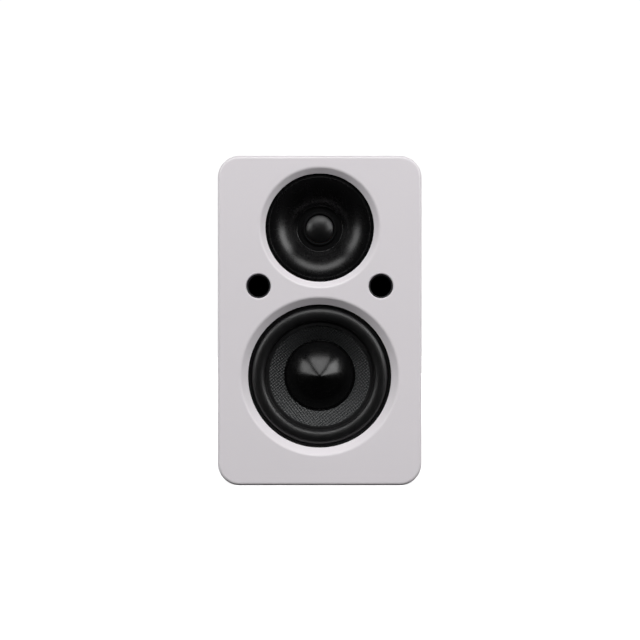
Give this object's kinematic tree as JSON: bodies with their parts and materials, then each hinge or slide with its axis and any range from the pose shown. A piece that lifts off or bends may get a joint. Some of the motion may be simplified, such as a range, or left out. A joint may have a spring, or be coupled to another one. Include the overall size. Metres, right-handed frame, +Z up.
{
  "type": "bookshelf speaker",
  "caption": "Compact two-way bookshelf loudspeaker: white rounded cabinet, dome tweeter in a waveguide, woven-cone woofer, twin front reflex ports, rear binding posts.",
  "frame": {"origin": "on the surface it stands on, below the middle of its bounding box", "axes": "+Z up, the baffle faces -Y, +X to the right of a listener in front of it"},
  "size_m": [0.185, 0.2426, 0.299],
  "materials": {
    "white_lacquer": "satin-gloss white lacquer over fibreboard",
    "black_lacquer": "matt black lacquer over fibreboard",
    "raw_board": "bare fibreboard",
    "black_screw": "black oxide",
    "port_plastic": "fine-textured moulding",
    "felt": "felted polyester",
    "cast_frame": "black powder coat",
    "foam": "closed-cell foam",
    "surround_rubber": "satin rubber",
    "woven_fibre": "coated woven fibre, satin",
    "cap_plastic": "smooth satin-gloss",
    "amber_film": "polyimide film",
    "copper": "enamelled copper",
    "spider_cloth": "resin-dipped cloth",
    "plated_steel": "zinc plate",
    "ferrite": "ground ferrite",
    "brown_fibre": "phenolic fibre",
    "horn_plastic": "satin moulding",
    "dome_rubber": "coated cloth roll",
    "dome_cloth": "coated silk",
    "aluminium": "foil",
    "brass": "turned",
    "board_laminate": "green solder mask",
    "nylon": "natural nylon",
    "capacitor_film": "wrapped film",
    "ceramic": "cement-filled ceramic",
    "wire_jacket": "PVC",
    "terminal_plastic": "fine-textured moulding",
    "gold_plate": "gold flash over brass",
    "red_plastic": "coloured moulding",
    "black_plastic": "coloured moulding"
  },
  "bodies": {
    "cabinet": {"front_baffle": "white_lacquer", "left_panel": "white_lacquer", "right_panel": "white_lacquer", "top_panel": "white_lacquer", "bottom_panel": "white_lacquer", "rear_panel": "black_lacquer", "rear_battens": "raw_board", "rear_panel_screws": "black_screw", "shelf_brace": "raw_board", "port_tube_left": "port_plastic", "port_tube_right": "port_plastic", "damping_pads": "felt", "woofer_frame": "cast_frame", "woofer_gasket": "foam", "woofer_surround": "surround_rubber", "woofer_spider": "spider_cloth", "woofer_top_plate": "plated_steel", "woofer_magnet": "ferrite", "woofer_pole_yoke": "plated_steel", "woofer_terminals": "brown_fibre", "woofer_tinsel_leads": "copper", "driver_screws": "plated_steel", "tweeter_waveguide": "horn_plastic", "tweeter_gasket": "foam", "tweeter_surround": "dome_rubber", "tweeter_mounting_ring": "port_plastic", "tweeter_top_plate": "plated_steel", "tweeter_magnet": "ferrite", "tweeter_pole_yoke": "plated_steel", "tweeter_rear_cup": "port_plastic", "tweeter_terminals": "brass", "tweeter_motor_screws": "plated_steel", "crossover_board": "board_laminate", "board_spacers": "nylon", "board_screws": "plated_steel", "woofer_inductor": "copper", "tweeter_inductor": "copper", "film_capacitors": "capacitor_film", "power_resistor": "ceramic", "hook_up_wires": "wire_jacket", "terminal_cup": "terminal_plastic", "terminal_cup_screws": "black_screw", "post_shafts": "gold_plate", "post_nuts": "brass", "solder_lugs": "plated_steel", "red_post_base": "red_plastic", "black_post_base": "black_plastic"},
    "woofer_motion": {"woofer_cone": "woven_fibre", "woofer_dust_cap": "cap_plastic", "woofer_coil_former": "amber_film", "woofer_voice_coil": "copper"},
    "tweeter_motion": {"tweeter_dome": "dome_cloth", "tweeter_coil_former": "aluminium", "tweeter_voice_coil": "copper"},
    "red_washer": {"red_post_washer": "gold_plate"},
    "red_cap": {"red_post_cap": "red_plastic", "red_post_insert": "brass"},
    "black_washer": {"black_post_washer": "gold_plate"},
    "black_cap": {"black_post_cap": "black_plastic", "black_post_insert": "brass"}
  },
  "joints": [
    {"name": "woofer_stroke", "type": "slide", "parent": "cabinet", "child": "woofer_motion", "axis": [0, -1, 0], "range_m": [-0.0045, 0.0045], "stiffness_N_per_m": 1100, "deforming": ["woofer_surround", "woofer_spider", "woofer_tinsel_leads"]},
    {"name": "tweeter_stroke", "type": "slide", "parent": "cabinet", "child": "tweeter_motion", "axis": [0, -1, 0], "range_m": [-0.0004, 0.0004], "stiffness_N_per_m": 11800, "deforming": ["tweeter_surround"]},
    {"name": "red_cap_travel", "type": "slide", "parent": "cabinet", "child": "red_washer", "axis": [0, 1, 0], "range_m": [0, 0.005]},
    {"name": "red_cap_turn", "type": "hinge", "parent": "red_washer", "child": "red_cap", "pos_m": [0.00953, 0.11875, 0.072], "axis": [0, 1, 0], "range_deg": [0, 1800]},
    {"name": "black_cap_travel", "type": "slide", "parent": "cabinet", "child": "black_washer", "axis": [0, 1, 0], "range_m": [0, 0.005]},
    {"name": "black_cap_turn", "type": "hinge", "parent": "black_washer", "child": "black_cap", "pos_m": [-0.00953, 0.11875, 0.072], "axis": [0, 1, 0], "range_deg": [0, 1800]}
  ],
  "couplings": [
    {"joint": "red_cap_turn", "follows": "red_cap_travel", "rad_per_m": 6283.2},
    {"joint": "black_cap_turn", "follows": "black_cap_travel", "rad_per_m": 6283.2}
  ]
}
